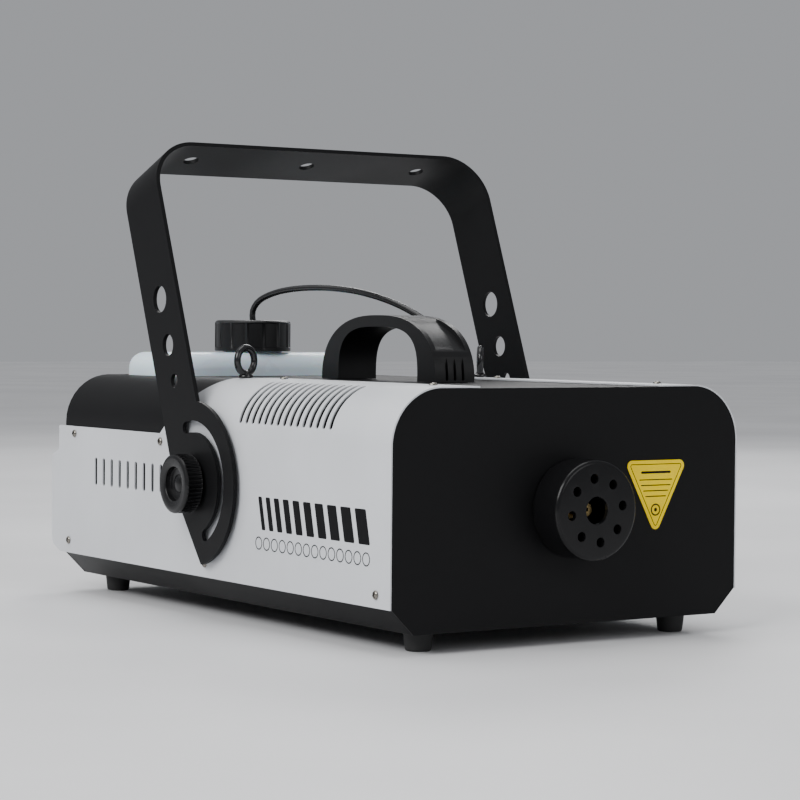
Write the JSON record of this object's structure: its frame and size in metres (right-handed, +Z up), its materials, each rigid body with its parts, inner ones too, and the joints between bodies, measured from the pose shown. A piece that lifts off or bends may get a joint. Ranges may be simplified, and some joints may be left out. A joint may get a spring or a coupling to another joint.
{
  "type": "fog machine",
  "caption": "Stage fog machine: black steel body with white side covers, round fog outlet, lift-in fluid tank with hose, carry handle and a tilting hanging yoke held by two knobs.",
  "frame": {"origin": "middle of the overall box on the plane that the feet stand on", "axes": "+Z up; -Y is the front, where the fog comes out; +X is the machine's left seen from the front, the right-hand side of a viewer facing +Y"},
  "size_m": [0.335, 0.525, 0.3493],
  "materials": {
    "white_paint": "satin cool white powder coat on steel sheet",
    "black_paint": "fine-textured satin black powder coat on steel",
    "black_plastic": "moulded black plastic with a fine grain",
    "hose_plastic": "glossy black flexible tube",
    "rubber": "matt black rubber",
    "natural_hdpe": "milky natural polyethylene, slightly glossy",
    "bright_steel": "plated steel",
    "black_steel": "glossy black plated steel",
    "aluminium": "machined aluminium",
    "brass": "turned brass",
    "copper": "drawn copper tube",
    "board_green": "solder-masked circuit board",
    "yellow_film": "printed yellow film",
    "display_glass": "dark display window",
    "red_plastic": "translucent red plastic"
  },
  "bodies": {
    "chassis": {"side_cover_left": "white_paint", "side_cover_right": "white_paint", "base_tray": "black_paint", "front_panel": "black_paint", "rear_panel": "black_paint", "hood": "black_paint", "nozzle_cover": "black_paint", "tank_well": "black_paint", "carry_handle": "black_plastic", "thermostat": "black_plastic", "pump_body": "black_plastic", "power_inlet": "black_plastic", "fuse_holder": "black_plastic", "rocker_frame": "black_plastic", "dmx_in_socket": "black_plastic", "dmx_out_socket": "black_plastic", "control_bezel": "black_plastic", "suction_hose": "hose_plastic", "foot_front_left": "rubber", "foot_front_right": "rubber", "foot_rear_left": "rubber", "foot_rear_right": "rubber", "friction_washer_left": "rubber", "friction_washer_right": "rubber", "hose_grommet": "rubber", "pump_bracket": "rubber", "fluid_tank": "natural_hdpe", "pivot_nut_left": "bright_steel", "pivot_nut_right": "bright_steel", "cover_screw_left_front": "bright_steel", "cover_screw_left_rear": "bright_steel", "cover_screw_right_front": "bright_steel", "cover_screw_right_rear": "bright_steel", "flange_screw_left": "bright_steel", "flange_screw_right": "bright_steel", "heat_shield": "bright_steel", "heater_stand": "bright_steel", "eye_bolt_left": "black_steel", "eye_bolt_right": "black_steel", "heater_block": "aluminium", "heat_sink": "aluminium", "nozzle_tip": "brass", "suction_filter": "brass", "pressure_pipe": "copper", "control_board": "board_green", "warning_label": "yellow_film", "display_window": "display_glass"},
    "yoke": {"yoke": "black_paint"},
    "knob_left": {"knob_left": "black_plastic", "knob_stud_left": "bright_steel"},
    "knob_right": {"knob_right": "black_plastic", "knob_stud_right": "bright_steel"},
    "cap": {"tank_cap": "black_plastic"},
    "rocker": {"power_rocker": "red_plastic"},
    "menu_key": {"menu_button": "rubber"},
    "down_key": {"down_button": "rubber"},
    "up_key": {"up_button": "rubber"},
    "enter_key": {"enter_button": "rubber"},
    "plunger": {"pump_plunger": "bright_steel"}
  },
  "joints": [
    {"name": "yoke_tilt", "type": "hinge", "parent": "chassis", "child": "yoke", "pos_m": [0, 0.0169, 0.0981], "axis": [1, 0, 0], "range_deg": [-46, 80]},
    {"name": "knob_left_turn", "type": "hinge", "parent": "chassis", "child": "knob_left", "pos_m": [0, 0.0169, 0.0981], "axis": [1, 0, 0], "continuous": true},
    {"name": "knob_right_turn", "type": "hinge", "parent": "chassis", "child": "knob_right", "pos_m": [0, 0.0169, 0.0981], "axis": [1, 0, 0], "continuous": true},
    {"name": "tank_cap_turn", "type": "hinge", "parent": "chassis", "child": "cap", "pos_m": [0, 0.1925, 0.2036], "axis": [0, 0, 1], "continuous": true},
    {"name": "power_rocker_turn", "type": "hinge", "parent": "chassis", "child": "rocker", "pos_m": [-0.014, 0.2375, 0.0476], "axis": [1, 0, 0], "range_deg": [0, 15]},
    {"name": "pump_plunger_slide", "type": "slide", "parent": "chassis", "child": "plunger", "axis": [0, 1, 0], "range_m": [-0.003, 0.003], "stiffness_N_per_m": 400},
    {"name": "menu_press", "type": "slide", "parent": "chassis", "child": "menu_key", "axis": [0, -1, 0], "range_m": [0, 0.0012], "stiffness_N_per_m": 300, "springref_m": -0.001},
    {"name": "down_press", "type": "slide", "parent": "chassis", "child": "down_key", "axis": [0, -1, 0], "range_m": [0, 0.0012], "stiffness_N_per_m": 300, "springref_m": -0.001},
    {"name": "up_press", "type": "slide", "parent": "chassis", "child": "up_key", "axis": [0, -1, 0], "range_m": [0, 0.0012], "stiffness_N_per_m": 300, "springref_m": -0.001},
    {"name": "enter_press", "type": "slide", "parent": "chassis", "child": "enter_key", "axis": [0, -1, 0], "range_m": [0, 0.0012], "stiffness_N_per_m": 300, "springref_m": -0.001}
  ]
}
